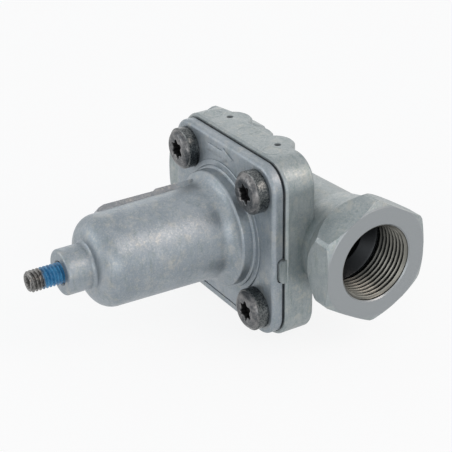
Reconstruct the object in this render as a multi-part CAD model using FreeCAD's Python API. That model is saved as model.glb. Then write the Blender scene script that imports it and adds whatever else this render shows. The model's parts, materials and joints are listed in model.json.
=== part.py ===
import FreeCAD, Part
import math
import os

# In-line diaphragm relief valve for compressed air, in millimetres.
# The valve axis is Y: the spring housing and the adjusting screw point to -Y.
# The two ports are in line on X, behind the square flange.
# Everything is modelled from the crossing of the valve axis with the front plane of the body
# flange, and moved at the end so that the origin is below the middle, on the surface it stands on.
Vector = FreeCAD.Vector

# Square flange of the body and of the spring housing, with a screw in each corner
SCREW_SPACING = 36.0
SCREW_EDGE = 8.8
SCREW_OFFSET = SCREW_SPACING / 2
SCREW_CIRCLE_R = SCREW_OFFSET * math.sqrt(2)
FLANGE_HALF = SCREW_OFFSET + SCREW_EDGE
FLANGE_CORNER = SCREW_EDGE - 0.6
BODY_FLANGE_T = 9.0
BODY_EDGE_CHAMFER = 0.4
COVER_INSET = 1.1
COVER_FLANGE_T = 3.0
COVER_EDGE_ROUND = 1.1
SHEET_T = 0.8
SHEET_INSET = COVER_INSET + 0.3
COVER_FACE_Y = -(SHEET_T + COVER_FLANGE_T)

# Cover screws, with rounded heads and a socket; they end short of the back of the body flange
COVER_SCREW_R = 3.0
COVER_SCREW_HOLE_R = COVER_SCREW_R + 0.3
COVER_SCREW_LENGTH = SHEET_T + COVER_FLANGE_T + BODY_FLANGE_T - 2.8
HEAD_R = 2 * COVER_SCREW_R
HEAD_T = 4.4
HEAD_ROUND = 1.8
SOCKET_R = 2.8
SOCKET_DEPTH = 2.6
SCREW_HOLE_SPARE = 0.5

# Ports: threaded ends with hexagons, joined by a round tube behind the flange
PORT_THREAD_R = 11.0
PORT_THREAD_DEPTH = 14.0
PORT_MOUTH_R = PORT_THREAD_R + 0.4
PORT_BORE_R = PORT_THREAD_R - 3.0
PORT_PROUD = 15.2
PORT_FACE_X = FLANGE_HALF + PORT_PROUD
PORT_AXIS_Y = BODY_FLANGE_T + 9.6
HEX_ACROSS_FLATS = 32.0
HEX_CORNER_R = HEX_ACROSS_FLATS / 2 + 2.1
HEX_FACE_R = HEX_ACROSS_FLATS / 2 + 0.1
HEX_CHAMFER_T = 1.1
HEX_RIDGE = 6.2
HEX_CONE_T = 5.4
TUBE_R = HEX_ACROSS_FLATS / 2 - 4.0
NECK_R = TUBE_R + 0.8
NECK_X = FLANGE_HALF - 4.8
CONE_R = HEX_ACROSS_FLATS / 2 - 1.2
PORT_BACK_Y = PORT_AXIS_Y + HEX_ACROSS_FLATS / 2

# Chamber below the diaphragm, inside the ring of screws, and what lies in it
CHAMBER_LAND = 5.16
CHAMBER_R = SCREW_CIRCLE_R - COVER_SCREW_HOLE_R - CHAMBER_LAND
PISTON_GAP = 4.8
PISTON_R = CHAMBER_R - PISTON_GAP
PISTON_T = 1.4
SEAL_R = 5.6
SEAL_T = 2.0
SEAL_RIM_R = SEAL_R + 1.8
SEAL_RIM_DROP = 0.6
SEAT_Y = PISTON_T + SEAL_T
SEAT_BORE_R = 4.0
SEAT_OUTER_R = SEAT_BORE_R + 2.0
SEAT_LIP_T = 0.6
CHAMBER_DEPTH = SEAT_Y + 0.6
SEAT_RING_SEAT_T = 5.0
SEAT_RING_END_Y = CHAMBER_DEPTH + SEAT_RING_SEAT_T
RING_SECTION_R = 0.75
RING_SQUEEZE = 0.1
HUB_WALL = 4.0
HUB_R = SEAT_OUTER_R + HUB_WALL
HUB_BACK_Y = SEAT_RING_END_Y + HUB_WALL

# Passages inside the body; the two pockets lie between the seat ring and the chamber wall
INLET_POCKET_R = (CHAMBER_R - SEAT_OUTER_R) / 2 - 1.0
POCKET_X = (CHAMBER_R + SEAT_OUTER_R) / 2 + 0.5
OUTLET_BORE_R = 5.0
OUTLET_STEP_X = 18.0
RETURN_POCKET_R = INLET_POCKET_R - 0.5
RETURN_FLOOR_Y = CHAMBER_DEPTH + 6.5
RETURN_HOLE_R = 0.6 * RETURN_POCKET_R

# Return valve, which lets air flow back from the outlet to the inlet
RETURN_PLATE_R = 0.85 * RETURN_POCKET_R
RETURN_PLATE_T = 1.2
RETURN_STEM_R = 0.25 * RETURN_POCKET_R
RETURN_STEM_LENGTH = 3.0
RETURN_CAP_T = 1.0
RETURN_CAP_Y = CHAMBER_DEPTH + 0.6
RETURN_SPRING_MEAN_R = 0.55 * RETURN_POCKET_R
RETURN_WIRE_R = 0.25
RETURN_SPRING_TURNS = 3.0

# Rounded lobes and cast dimples on the back of the flange top
LOBE_X = 10.7
LOBE_R = 5.6
LOBE_REACH_Y = BODY_FLANGE_T + 3.2
LOBE_FOOT_Z = 7.0
MIDDLE_LOBE_DROP = 1.0
DIMPLE_X = 12.2
DIMPLE_Y = 6.6
DIMPLE_R = 1.1
DIMPLE_DEPTH = 0.5

# Locating tab of the body, which keys the housing the right way round
TAB_REACH = 2.2
TAB_TOP_Z = -0.5
TAB_WIDTH = 6.8
TAB_T = 2.0
TAB_CLEAR = 0.25

# Spring housing
BARREL_R = 12.95
BARREL_ROOT_R = BARREL_R + 0.5
BARREL_WALL = 2.05
SHOULDER_Y = 47.1
SHOULDER_ROUND = 5.6
NOSE_R = 6.4
NOSE_Y = SHOULDER_Y + 7.7
NOSE_ROUND = 0.8
NOSE_FOOT = 0.9
PAD_R = SCREW_CIRCLE_R - HEAD_R - 0.06
PAD_T = 0.4
RING_R = PAD_R - 1.5
RING_T = 1.0
BELL_R = PAD_R - 2.45
BELL_RISE = 3.9
BELL_SWEEP = BELL_R - BARREL_ROOT_R + 0.4
BARREL_ROOT_Y = BELL_RISE + BELL_SWEEP - COVER_FACE_Y
CAVITY_R = BARREL_R - BARREL_WALL
CAVITY_END_Y = SHOULDER_Y - 3.5
MOUTH_R = CHAMBER_R - 0.4
RIB_ANGLE = 42.0
RIB_PROUD = 2.05
RIB_T = 4.0
RIB_FOOT_Y = BARREL_ROOT_Y - 3.6
RIB_STEP_Y = 20.5
RIB_END_Y = SHOULDER_Y - SHOULDER_ROUND - 1.3
VENT_R = 0.9
GROOVE_HALF = 13.0
GROOVE_WIDTH = 0.5
GROOVE_DEPTH = 0.3
GROOVE_RISE = 2.3

# Adjusting screw and the spring plate that it pushes on
ADJUST_R = 3.0
ADJUST_PROUD = 9.3
ADJUST_TIP_Y = NOSE_Y + ADJUST_PROUD
ADJUST_CONE_T = 1.0
ADJUST_CONE_R = ADJUST_R - 1.4
ADJUST_SOCKET_AF = ADJUST_R
ADJUST_SOCKET_DEPTH = 3.5
THREAD_CLEAR = 0.05
PLATE_BACK_GAP = 3.5
TOP_PLATE_R = CAVITY_R - 0.3
TOP_PLATE_T = 2.4
TOP_PLATE_HUB_T = 1.8
TOP_PLATE_BACK_Y = CAVITY_END_Y - PLATE_BACK_GAP
ADJUST_END_Y = TOP_PLATE_BACK_Y - ADJUST_CONE_T

# Main spring
SPRING_WIRE_R = 1.2
SPRING_MEAN_R = CAVITY_R - SPRING_WIRE_R - 0.8
SPRING_TURNS = 6.5

# Diaphragm with the plate and the nut above it
CONVOLUTION_R = 1.7
CONVOLUTION_DROP = 1.6
LIFT = 2.2
PLATE_R = CHAMBER_R - 1.6
PLATE_T = 1.6
PLATE_FACE_Y = -(SHEET_T + PLATE_T)
PLATE_HUB_R = SPRING_MEAN_R - SPRING_WIRE_R - 0.8
PLATE_HUB_T = 2.0
STUD_R = 0.435 * PLATE_HUB_R
STUD_END_T = 0.6
LOCK_WASHER_INSET = 1.3
LOCK_WASHER_R = PLATE_HUB_R - LOCK_WASHER_INSET
LOCK_WASHER_T = 1.4
NUT_CORNER_INSET = 1.13
NUT_ACROSS_FLATS = (PLATE_HUB_R - NUT_CORNER_INSET) * math.sqrt(3)
NUT_T = 3.2
SEAL_WASHER_CLEAR = 0.6
SEAL_WASHER_R = SEAT_BORE_R - SEAL_WASHER_CLEAR
SEAL_SCREW_HEAD_R = SEAL_WASHER_R - 0.7
SEAL_SCREW_HEAD_T = 1.2
SEAL_SCREW_R = SEAL_SCREW_HEAD_R / 1.8
SEAL_SCREW_LENGTH = 4.6
SEAL_WASHER_T = 0.5


def bar_y(radius, y0, y1, x=0.0, z=0.0):
    """Round bar along Y."""
    return Part.makeCylinder(radius, y1 - y0, Vector(x, y0, z), Vector(0, 1, 0))


def bar_x(radius, x0, x1, y=PORT_AXIS_Y):
    """Round bar along X, on the height of the valve axis."""
    return Part.makeCylinder(radius, x1 - x0, Vector(x0, y, 0), Vector(1, 0, 0))


def cone_y(r0, r1, y0, y1, x=0.0, z=0.0):
    """Round taper along Y, from radius r0 at y0 to r1 at y1."""
    return Part.makeCone(r0, r1, y1 - y0, Vector(x, y0, z), Vector(0, 1, 0))


def hexagon_wire(across_flats, x):
    """Hexagon across the port axis, with corners at the top and the bottom."""
    radius = across_flats / math.sqrt(3)
    angles = [math.radians(60 * i) for i in range(7)]
    corners = [(radius * math.sin(a), radius * math.cos(a)) for a in angles]
    return Part.makePolygon([Vector(x, PORT_AXIS_Y + y, z) for y, z in corners])


def hexagon_bar(across_flats, y0, y1):
    """Hexagonal bar on the valve axis."""
    radius = across_flats / math.sqrt(3)
    angles = [math.radians(60 * i) for i in range(7)]
    outline = Part.makePolygon([Vector(radius * math.sin(a), y0, radius * math.cos(a)) for a in angles])
    return Part.Face(outline).extrude(Vector(0, y1 - y0, 0))


def square_plate(half, corner, y0, y1):
    """Square plate across Y with rounded corners."""
    plate = Part.makeBox(2 * half, y1 - y0, 2 * half, Vector(-half, y0, -half))
    along = [e for e in plate.Edges if abs(e.tangentAt(e.FirstParameter).y) > 0.99]
    return plate.makeFillet(corner, along)


def turned(profile):
    """Solid turned about the valve axis from a closed outline of (radius, y) points."""
    points = [Vector(r, y, 0) for r, y in profile]
    outline = Part.makePolygon(points + points[:1])
    return Part.Face(outline).revolve(Vector(0, 0, 0), Vector(0, 1, 0), 360)


def turned_with_arcs(outline):
    """Solid turned about the valve axis; an entry that holds two points is an arc, by its middle and end."""
    edges = []
    last = Vector(*outline[0], 0)
    for entry in outline[1:] + outline[:1]:
        if isinstance(entry[0], tuple):
            middle, end = [Vector(*point, 0) for point in entry]
            edges.append(Part.Arc(last, middle, end).toShape())
        else:
            end = Vector(*entry, 0)
            edges.append(Part.makeLine(last, end))
        last = end
    return Part.Face(Part.Wire(edges)).revolve(Vector(0, 0, 0), Vector(0, 1, 0), 360)


def circles(shape, radius, y):
    """Full circles of a given radius about Y that lie in the plane y."""
    found = []
    for edge in shape.Edges:
        if isinstance(edge.Curve, Part.Circle) and abs(edge.Curve.Radius - radius) < 0.01:
            if abs(edge.Curve.Center.y - y) < 0.01:
                found.append(edge)
    return found


def edges_in_plane(shape, y):
    """Edges that lie in the plane y."""
    return [e for e in shape.Edges if abs(e.BoundBox.YMin - y) < 0.01 and abs(e.BoundBox.YMax - y) < 0.01]


def screw_places():
    """The four screw axes, as (x, z)."""
    return [(sx * SCREW_OFFSET, sz * SCREW_OFFSET) for sx in (-1, 1) for sz in (-1, 1)]


def coil(mean_r, wire_r, turns, y0, y1, x=0.0):
    """Six-sided wire wound about Y between the planes y0 and y1, ends included."""
    rise = y1 - y0 - 2 * wire_r
    path = Part.makeHelix(rise / turns, rise, mean_r)
    corners = []
    for i in range(7):
        a = math.radians(60 * i + 30)
        corners.append(Vector(mean_r + wire_r * math.cos(a), 0, wire_r * math.sin(a)))
    start = Part.makePolygon(corners)
    wire = Part.Wire(path).makePipeShell([start], True, True)
    wire.rotate(Vector(0, 0, 0), Vector(1, 0, 0), -90)
    wire.translate(Vector(x, y0 + wire_r, 0))
    return wire


def tab_block(clear):
    """Locating tab on the +X side of the body flange, grown by a clearance."""
    height = TAB_WIDTH + 2 * clear
    low = TAB_TOP_Z - TAB_WIDTH - clear
    inner = FLANGE_HALF - TAB_T - clear
    reach = TAB_REACH + clear
    block = Part.makeBox(TAB_T + clear, reach, height, Vector(inner, -reach, low))
    corners = [e for e in block.Edges if abs(e.tangentAt(e.FirstParameter).x) > 0.99
               and e.BoundBox.YMax < -reach + 0.01]
    return block.makeFillet(TAB_REACH * 0.6, corners)


def port_end(side):
    """Port boss: a round neck that flares into a hexagon with a turned face; side is +1 or -1."""
    ridge_x = PORT_FACE_X - HEX_RIDGE
    outline = [(0, 0), (0, TUBE_R), (NECK_X, NECK_R), (ridge_x - HEX_CONE_T, CONE_R),
               (ridge_x, HEX_CORNER_R), (PORT_FACE_X - HEX_CHAMFER_T, HEX_CORNER_R),
               (PORT_FACE_X, HEX_FACE_R), (PORT_FACE_X, 0)]
    points = [Vector(x, PORT_AXIS_Y + r, 0) for x, r in outline]
    face = Part.Face(Part.makePolygon(points + points[:1]))
    neck = face.revolve(Vector(0, PORT_AXIS_Y, 0), Vector(1, 0, 0), 360)
    prism = Part.Face(hexagon_wire(HEX_ACROSS_FLATS, -1.0)).extrude(Vector(PORT_FACE_X + 2.0, 0, 0))
    boss = neck.common(prism)
    return boss if side > 0 else boss.mirror(Vector(0, 0, 0), Vector(1, 0, 0))


def port_cut(side, bore_end_x):
    """Threaded mouth and bore of a port, down to bore_end_x from the valve axis."""
    lead = PORT_MOUTH_R - PORT_THREAD_R
    mouth = Part.makeCone(PORT_THREAD_R, PORT_MOUTH_R, lead,
                          Vector(PORT_FACE_X - lead, PORT_AXIS_Y, 0), Vector(1, 0, 0))
    thread = bar_x(PORT_THREAD_R, PORT_FACE_X - PORT_THREAD_DEPTH, PORT_FACE_X - lead)
    run_out = PORT_THREAD_R - PORT_BORE_R
    taper = Part.makeCone(PORT_BORE_R, PORT_THREAD_R, run_out,
                          Vector(PORT_FACE_X - PORT_THREAD_DEPTH - run_out, PORT_AXIS_Y, 0), Vector(1, 0, 0))
    bore = bar_x(PORT_BORE_R, bore_end_x, PORT_FACE_X - PORT_THREAD_DEPTH - run_out)
    cut = mouth.fuse([thread, taper, bore])
    return cut if side > 0 else cut.mirror(Vector(0, 0, 0), Vector(1, 0, 0))


def lobe(x, top_z):
    """Rounded rib standing on the back of the flange, up to its top."""
    centre_y = LOBE_REACH_Y - LOBE_R
    post = Part.makeCylinder(LOBE_R, top_z - LOBE_FOOT_Z, Vector(x, centre_y, LOBE_FOOT_Z), Vector(0, 0, 1))
    top = [e for e in post.Edges if e.BoundBox.ZMin > top_z - 0.01]
    return post.makeChamfer(0.5, top)


def make_valve_body():
    flange = square_plate(FLANGE_HALF, FLANGE_CORNER, 0, BODY_FLANGE_T)
    flange = flange.makeFillet(0.8, edges_in_plane(flange, BODY_FLANGE_T))
    flange = flange.makeChamfer(BODY_EDGE_CHAMFER, edges_in_plane(flange, 0))
    hub = bar_y(HUB_R, BODY_FLANGE_T - 1, HUB_BACK_Y)
    hub = hub.makeFillet(1.0, circles(hub, HUB_R, HUB_BACK_Y))
    lobes = [lobe(x, FLANGE_HALF) for x in (-LOBE_X, LOBE_X)]
    lobes.append(lobe(0, FLANGE_HALF - MIDDLE_LOBE_DROP))
    body = flange.fuse([hub, port_end(1), port_end(-1), tab_block(0)] + lobes)

    cuts = [bar_y(CHAMBER_R, -1, CHAMBER_DEPTH)]
    cuts.append(bar_y(SEAT_OUTER_R, 0, SEAT_RING_END_Y))
    cuts.append(bar_y(SEAT_BORE_R, 0, PORT_AXIS_Y))
    cuts.append(port_cut(1, POCKET_X))
    cuts.append(bar_y(INLET_POCKET_R, 0, PORT_AXIS_Y, POCKET_X))
    cuts.append(port_cut(-1, OUTLET_STEP_X))
    cuts.append(bar_x(OUTLET_BORE_R, -OUTLET_STEP_X - 1, 0))
    cuts.append(bar_y(RETURN_POCKET_R, 0, RETURN_FLOOR_Y, -POCKET_X))
    cuts.append(bar_y(RETURN_HOLE_R, 0, PORT_AXIS_Y, -POCKET_X))
    hole_end = COVER_FACE_Y + COVER_SCREW_LENGTH + SCREW_HOLE_SPARE
    for x, z in screw_places():
        cuts.append(bar_y(COVER_SCREW_R, -1, hole_end, x, z))
    for x in (-DIMPLE_X, DIMPLE_X):
        cuts.append(Part.makeCone(0.2, DIMPLE_R, DIMPLE_DEPTH,
                                  Vector(x, DIMPLE_Y, FLANGE_HALF - DIMPLE_DEPTH), Vector(0, 0, 1)))
    return body.cut(cuts).removeSplitter()


def on_sweep(degrees):
    """Point of the hollow sweep from the barrel into the bell, at an angle from the barrel."""
    a = math.radians(degrees)
    return BARREL_ROOT_R + BELL_SWEEP * (1 - math.cos(a)), -BARREL_ROOT_Y + BELL_SWEEP * math.sin(a)


def housing_outside():
    """Barrel with its pad, ring and bell foot, rounded shoulder and nose."""
    shoulder_start = -(SHOULDER_Y - SHOULDER_ROUND)
    pad_y = COVER_FACE_Y - PAD_T
    ring_y = COVER_FACE_Y - RING_T
    lip_y = on_sweep(75)[1] + 0.9
    foot = turned_with_arcs([
        (0, -SHEET_T), (PAD_R, -SHEET_T), (PAD_R, pad_y + 0.1), (PAD_R - 0.2, pad_y), (RING_R, pad_y),
        (RING_R - 0.1, ring_y + 0.2), (RING_R - 0.4, ring_y), (BELL_R + 0.1, ring_y - 0.1), (BELL_R, lip_y),
        ((BELL_R - 0.12, lip_y - 0.55), on_sweep(75)), (on_sweep(40), (BARREL_ROOT_R, -BARREL_ROOT_Y)),
        (BARREL_R, shoulder_start), (0, shoulder_start)])
    shoulder = bar_y(BARREL_R, -SHOULDER_Y, shoulder_start + 1.0)
    shoulder = shoulder.makeFillet(SHOULDER_ROUND, circles(shoulder, BARREL_R, -SHOULDER_Y))
    nose = turned_with_arcs([
        (0, shoulder_start), (NOSE_R, shoulder_start), (NOSE_R + NOSE_FOOT, -SHOULDER_Y + 0.05),
        ((NOSE_R + NOSE_FOOT * 0.3, -SHOULDER_Y - NOSE_FOOT * 0.3), (NOSE_R, -SHOULDER_Y - NOSE_FOOT)),
        (NOSE_R, -NOSE_Y + NOSE_ROUND),
        ((NOSE_R - NOSE_ROUND * 0.3, -NOSE_Y + NOSE_ROUND * 0.3), (NOSE_R - NOSE_ROUND, -NOSE_Y)),
        (0, -NOSE_Y)])
    return foot.fuse([shoulder, nose])


def housing_rib():
    """Rib along the barrel, lower past its step and ramped down at the shoulder."""
    outer = BARREL_R + RIB_PROUD
    low = outer - 0.5
    side = [(0, -RIB_FOOT_Y), (outer, -RIB_FOOT_Y), (outer, -RIB_STEP_Y),
            (low, -RIB_STEP_Y - 0.6), (low, -RIB_END_Y + 3.4), (low - 0.5, -RIB_END_Y + 1.7),
            (BARREL_R - 0.6, -RIB_END_Y), (0, -RIB_END_Y)]
    points = [Vector(-RIB_T / 2, y, r) for r, y in side]
    rib = Part.Face(Part.makePolygon(points + points[:1])).extrude(Vector(RIB_T, 0, 0))
    rib.rotate(Vector(0, 0, 0), Vector(0, 1, 0), -RIB_ANGLE)
    return rib


def make_spring_housing():
    half = FLANGE_HALF - COVER_INSET
    flange = square_plate(half, FLANGE_CORNER - COVER_INSET, COVER_FACE_Y, -SHEET_T)
    flange = flange.makeFillet(COVER_EDGE_ROUND, edges_in_plane(flange, COVER_FACE_Y))
    housing = flange.fuse([housing_outside(), housing_rib()])

    plate_stop = PLATE_FACE_Y - LIFT
    cavity = bar_y(CAVITY_R, -CAVITY_END_Y, -SHEET_T + 1)
    cavity = cavity.makeChamfer(0.8, circles(cavity, CAVITY_R, -CAVITY_END_Y))
    cuts = [cavity, bar_y(MOUTH_R, plate_stop, -SHEET_T + 1)]
    cuts.append(bar_y(ADJUST_R + THREAD_CLEAR, -NOSE_Y - 1, -CAVITY_END_Y + 1))
    lead = 0.5
    cuts.append(cone_y(ADJUST_R + THREAD_CLEAR + lead, ADJUST_R + THREAD_CLEAR, -NOSE_Y, -NOSE_Y + lead))
    cuts.append(tab_block(TAB_CLEAR))
    for x, z in screw_places():
        cuts.append(bar_y(COVER_SCREW_HOLE_R, COVER_FACE_Y - 1, 1, x, z))
    cuts.append(Part.makeCylinder(VENT_R, BARREL_R + 3, Vector(0, -BARREL_ROOT_Y - 3, 0), Vector(0, 0, -1)))
    cuts.append(Part.makeBox(2 * GROOVE_HALF, GROOVE_DEPTH + 1, GROOVE_WIDTH,
                             Vector(-GROOVE_HALF, COVER_FACE_Y - 1, GROOVE_RISE - half)))
    return housing.cut(cuts).removeSplitter()


def make_cover_screws():
    screws = []
    top = COVER_FACE_Y - HEAD_T
    shank_r = COVER_SCREW_R - 0.02
    for x, z in screw_places():
        screw = turned([
            (0, top + SOCKET_DEPTH), (SOCKET_R, top + SOCKET_DEPTH), (SOCKET_R, top),
            (HEAD_R - HEAD_ROUND, top), (HEAD_R - HEAD_ROUND * 0.3, top + HEAD_ROUND * 0.3),
            (HEAD_R, top + HEAD_ROUND), (HEAD_R, COVER_FACE_Y), (shank_r, COVER_FACE_Y),
            (shank_r, COVER_FACE_Y + COVER_SCREW_LENGTH), (0, COVER_FACE_Y + COVER_SCREW_LENGTH)])
        screw.translate(Vector(x, 0, z))
        screws.append(screw)
    return Part.makeCompound(screws)


def make_adjusting_screw():
    rod = turned([(0, -ADJUST_TIP_Y), (ADJUST_R - 0.5, -ADJUST_TIP_Y), (ADJUST_R, -ADJUST_TIP_Y + 0.5),
                  (ADJUST_R, -ADJUST_END_Y - ADJUST_CONE_T), (ADJUST_CONE_R, -ADJUST_END_Y),
                  (0, -ADJUST_END_Y)])
    socket = hexagon_bar(ADJUST_SOCKET_AF, -ADJUST_TIP_Y - 1, -ADJUST_TIP_Y + ADJUST_SOCKET_DEPTH)
    return rod.cut(socket)


def make_upper_spring_plate():
    front = -TOP_PLATE_BACK_Y + TOP_PLATE_T
    hub_r = SPRING_MEAN_R - SPRING_WIRE_R - 0.3
    plate = turned([(0, -TOP_PLATE_BACK_Y), (TOP_PLATE_R - 0.6, -TOP_PLATE_BACK_Y),
                    (TOP_PLATE_R, -TOP_PLATE_BACK_Y + 0.6), (TOP_PLATE_R, front), (hub_r, front),
                    (hub_r - 0.6, front + TOP_PLATE_HUB_T), (0, front + TOP_PLATE_HUB_T)])
    dimple = cone_y(ADJUST_R, ADJUST_CONE_R, -TOP_PLATE_BACK_Y, -ADJUST_END_Y)
    return plate.cut(dimple)


def make_main_spring():
    top = -TOP_PLATE_BACK_Y + TOP_PLATE_T
    return coil(SPRING_MEAN_R, SPRING_WIRE_R, SPRING_TURNS, top, PLATE_FACE_Y)


def make_diaphragm():
    half = FLANGE_HALF - SHEET_INSET
    sheet = square_plate(half, FLANGE_CORNER - SHEET_INSET, -SHEET_T, 0)
    mean_r = (PISTON_R + CHAMBER_R) / 2 + 0.1
    outer = CONVOLUTION_R + SHEET_T / 2
    inner = CONVOLUTION_R - SHEET_T / 2
    trough = turned([(mean_r - outer, -SHEET_T), (mean_r + outer, -SHEET_T),
                     (mean_r + outer * 0.75, CONVOLUTION_DROP), (mean_r - outer * 0.75, CONVOLUTION_DROP)])
    hollow = turned([(mean_r - inner, -SHEET_T), (mean_r + inner, -SHEET_T),
                     (mean_r + inner * 0.6, CONVOLUTION_DROP - SHEET_T),
                     (mean_r - inner * 0.6, CONVOLUTION_DROP - SHEET_T)])
    sheet = sheet.fuse(trough).cut(hollow)
    cuts = [bar_y(STUD_R, -1, 1), tab_block(TAB_CLEAR)]
    for x, z in screw_places():
        cuts.append(bar_y(COVER_SCREW_HOLE_R, -1, 1, x, z))
    return sheet.cut(cuts)


def make_diaphragm_plate():
    plate = turned([(STUD_R + THREAD_CLEAR, -SHEET_T), (PLATE_R - 0.6, -SHEET_T), (PLATE_R, -SHEET_T - 0.6),
                    (PLATE_R, PLATE_FACE_Y), (PLATE_HUB_R, PLATE_FACE_Y),
                    (PLATE_HUB_R - 0.6, PLATE_FACE_Y - PLATE_HUB_T),
                    (STUD_R + THREAD_CLEAR, PLATE_FACE_Y - PLATE_HUB_T)])
    return plate


def make_piston():
    disc = turned([(0, 0), (PISTON_R - 0.5, 0), (PISTON_R, 0.5), (PISTON_R, PISTON_T),
                   (SEAL_RIM_R, PISTON_T), (SEAL_RIM_R - 0.4, SEAT_Y - SEAL_RIM_DROP),
                   (SEAL_R, SEAT_Y - SEAL_RIM_DROP), (SEAL_R, PISTON_T), (0, PISTON_T)])
    stud = bar_y(STUD_R, PLATE_FACE_Y - PLATE_HUB_T - LOCK_WASHER_T - NUT_T - STUD_END_T, 0.1)
    screw_hole = bar_y(SEAL_SCREW_R, SEAT_Y + SEAL_WASHER_T - SEAL_SCREW_LENGTH - 0.4, PISTON_T + 1)
    return disc.fuse(stud).cut(screw_hole).removeSplitter()


def make_lock_washer():
    face = PLATE_FACE_Y - PLATE_HUB_T
    ring = bar_y(LOCK_WASHER_R, face - LOCK_WASHER_T, face)
    ring = ring.cut(bar_y(STUD_R + THREAD_CLEAR, face - LOCK_WASHER_T, face))
    split = Part.makeBox(1.0, LOCK_WASHER_T, LOCK_WASHER_R + 1, Vector(-0.5, face - LOCK_WASHER_T, 0))
    split.rotate(Vector(0, face - LOCK_WASHER_T / 2, LOCK_WASHER_R), Vector(0, 0, 1), 20)
    return ring.cut(split)


def make_diaphragm_nut():
    face = PLATE_FACE_Y - PLATE_HUB_T - LOCK_WASHER_T
    nut = hexagon_bar(NUT_ACROSS_FLATS, face - NUT_T, face)
    return nut.cut(bar_y(STUD_R + THREAD_CLEAR, face - NUT_T, face))


def make_valve_seal():
    seal = bar_y(SEAL_R - 0.02, PISTON_T, SEAT_Y)
    return seal.cut(bar_y(SEAL_SCREW_R + 0.1, PISTON_T, SEAT_Y))


def make_seal_washer():
    washer = bar_y(SEAL_WASHER_R, SEAT_Y, SEAT_Y + SEAL_WASHER_T)
    return washer.cut(bar_y(SEAL_SCREW_R + 0.1, SEAT_Y, SEAT_Y + SEAL_WASHER_T))


def make_seal_screw():
    under_head = SEAT_Y + SEAL_WASHER_T
    end = under_head + SEAL_SCREW_HEAD_T
    head = turned([(0, under_head), (SEAL_SCREW_HEAD_R, under_head), (SEAL_SCREW_HEAD_R, end - 0.4),
                   (SEAL_SCREW_HEAD_R - 0.4, end), (0, end)])
    shank = bar_y(SEAL_SCREW_R - 0.02, under_head - SEAL_SCREW_LENGTH, under_head + 0.3)
    slot = Part.makeBox(2 * SEAL_SCREW_HEAD_R, 0.6, 0.7,
                        Vector(-SEAL_SCREW_HEAD_R, under_head + SEAL_SCREW_HEAD_T - 0.6, -0.35))
    return head.fuse(shank).cut(slot).removeSplitter()


def seal_groove_y():
    """Middle of the ring seal's groove, along the seat ring."""
    return (CHAMBER_DEPTH + SEAT_RING_END_Y) / 2


def make_seat_ring():
    """Ring with a narrow lip; its shoulder lies on the chamber floor."""
    flange_r = SEAT_OUTER_R + 1.0
    ring = turned([(SEAT_BORE_R, SEAT_Y), (SEAT_BORE_R + SEAT_LIP_T, SEAT_Y),
                   (SEAT_OUTER_R - 0.02, CHAMBER_DEPTH), (SEAT_OUTER_R - 0.02, SEAT_RING_END_Y),
                   (SEAT_BORE_R, SEAT_RING_END_Y)])
    groove_y = seal_groove_y()
    groove = bar_y(flange_r, groove_y - RING_SECTION_R - 0.1, groove_y + RING_SECTION_R + 0.1)
    bottom = bar_y(SEAT_OUTER_R - 2 * RING_SECTION_R + RING_SQUEEZE, groove_y - 2, groove_y + 2)
    return ring.cut(groove.cut(bottom))


def make_seat_ring_seal():
    mean_r = SEAT_OUTER_R - RING_SECTION_R + RING_SQUEEZE / 2
    section = RING_SECTION_R - RING_SQUEEZE
    outline = []
    for i in range(8):
        a = math.radians(45 * i + 22.5)
        outline.append((mean_r + section * math.cos(a), seal_groove_y() + section * math.sin(a)))
    return turned(outline)


def make_return_valve_plate():
    top = RETURN_FLOOR_Y - RETURN_PLATE_T
    disc = bar_y(RETURN_PLATE_R, top, RETURN_FLOOR_Y, -POCKET_X)
    stem = bar_y(RETURN_STEM_R, top - RETURN_STEM_LENGTH, top + 0.2, -POCKET_X)
    return disc.fuse(stem).removeSplitter()


def make_return_valve_spring():
    cap_end = RETURN_CAP_Y + RETURN_CAP_T
    return coil(RETURN_SPRING_MEAN_R, RETURN_WIRE_R, RETURN_SPRING_TURNS, cap_end,
                RETURN_FLOOR_Y - RETURN_PLATE_T, -POCKET_X)


def make_return_valve_cap():
    """Pressed cap that holds the small spring and lets air through three holes."""
    end = RETURN_CAP_Y + RETURN_CAP_T
    cap = bar_y(RETURN_POCKET_R - 0.02, RETURN_CAP_Y, end, -POCKET_X)
    cuts = [bar_y(RETURN_STEM_R + 0.3, RETURN_CAP_Y, end, -POCKET_X)]
    reach = 0.65 * RETURN_POCKET_R
    for i in range(3):
        a = math.radians(120 * i + 90)
        cuts.append(bar_y(0.2 * RETURN_POCKET_R, RETURN_CAP_Y, end,
                          -POCKET_X + reach * math.cos(a), reach * math.sin(a)))
    return cap.cut(cuts)


PIECES = {
    "valve_body": make_valve_body,
    "spring_housing": make_spring_housing,
    "cover_screws": make_cover_screws,
    "adjusting_screw": make_adjusting_screw,
    "upper_spring_plate": make_upper_spring_plate,
    "main_spring": make_main_spring,
    "diaphragm": make_diaphragm,
    "diaphragm_plate": make_diaphragm_plate,
    "piston": make_piston,
    "lock_washer": make_lock_washer,
    "diaphragm_nut": make_diaphragm_nut,
    "valve_seal": make_valve_seal,
    "seal_washer": make_seal_washer,
    "seal_screw": make_seal_screw,
    "seat_ring": make_seat_ring,
    "seat_ring_seal": make_seat_ring_seal,
    "return_valve_plate": make_return_valve_plate,
    "return_valve_spring": make_return_valve_spring,
    "return_valve_cap": make_return_valve_cap,
}

to_stand = Vector(0, (ADJUST_TIP_Y - PORT_BACK_Y) / 2, FLANGE_HALF)
os.makedirs("parts", exist_ok=True)
for name, make in PIECES.items():
    shape = make()
    shape.translate(to_stand)
    print(name, len(shape.Solids), "solids, valid", shape.isValid(), "volume", round(shape.Volume, 1))
    shape.exportStep("parts/" + name + ".step")
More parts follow.
